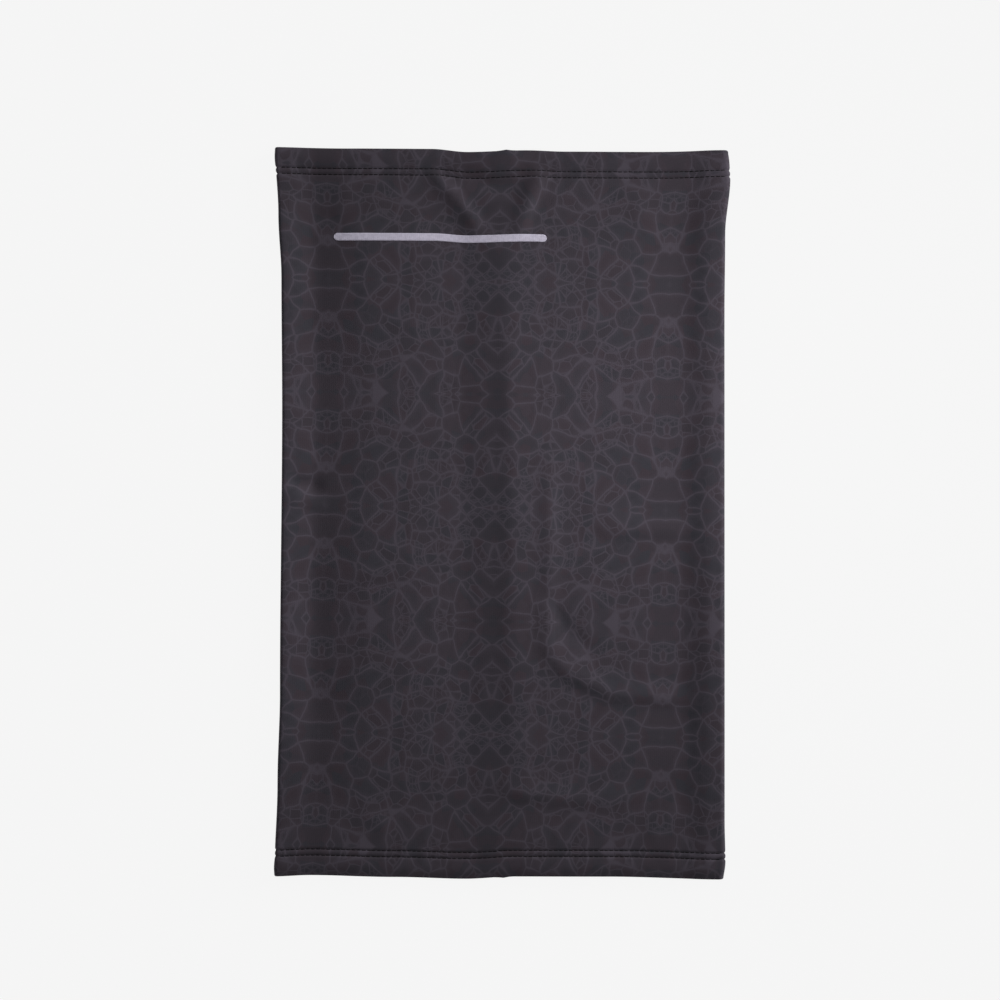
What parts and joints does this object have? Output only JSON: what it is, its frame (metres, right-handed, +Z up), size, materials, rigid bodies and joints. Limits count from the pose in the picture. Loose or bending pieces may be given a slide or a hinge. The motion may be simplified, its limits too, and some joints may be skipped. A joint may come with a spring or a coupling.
{
  "type": "neck gaiter",
  "caption": "Flat-laid tube of dark printed stretch knit with a back seam and stitched hems, worn over the neck and lower face for warmth.",
  "frame": {"origin": "middle of the underside of the tube as it lies flat on its back", "axes": "+Z up through the two layers, +Y along the tube towards the top hem, +X to the right seen from the front"},
  "size_m": [0.2516, 0.404, 0.0089],
  "materials": {
    "printed_knit": "matte",
    "sewing_thread": "matte",
    "transfer_film": "satin"
  },
  "bodies": {
    "back": {"back_panel_left": "printed_knit", "back_panel_right": "printed_knit", "right_fold_lower": "printed_knit", "left_fold_lower": "printed_knit", "seam_allowance": "printed_knit", "top_hem_right_lower": "printed_knit", "top_hem_left_lower": "printed_knit", "top_hem_back_left": "printed_knit", "top_hem_back_right": "printed_knit", "bottom_hem_right_lower": "printed_knit", "bottom_hem_left_lower": "printed_knit", "bottom_hem_back_left": "printed_knit", "bottom_hem_back_right": "printed_knit", "seam_overlock_thread": "sewing_thread", "top_outer_row_back": "sewing_thread", "top_inner_row_back": "sewing_thread", "top_looper_back": "sewing_thread", "bottom_outer_row_back": "sewing_thread", "bottom_inner_row_back": "sewing_thread", "bottom_looper_back": "sewing_thread"},
    "front": {"front_panel": "printed_knit", "right_fold_upper": "printed_knit", "left_fold_upper": "printed_knit", "top_hem_front": "printed_knit", "bottom_hem_front": "printed_knit", "top_hem_right_upper": "printed_knit", "top_hem_left_upper": "printed_knit", "bottom_hem_right_upper": "printed_knit", "bottom_hem_left_upper": "printed_knit", "top_outer_row_front": "sewing_thread", "top_inner_row_front": "sewing_thread", "top_looper_front": "sewing_thread", "bottom_outer_row_front": "sewing_thread", "bottom_inner_row_front": "sewing_thread", "bottom_looper_front": "sewing_thread", "transfer_bar": "transfer_film"}
  },
  "joints": [
    {"name": "front_lift", "type": "slide", "parent": "back", "child": "front", "axis": [0, 0, 1], "range_m": [0, 0.03]}
  ]
}
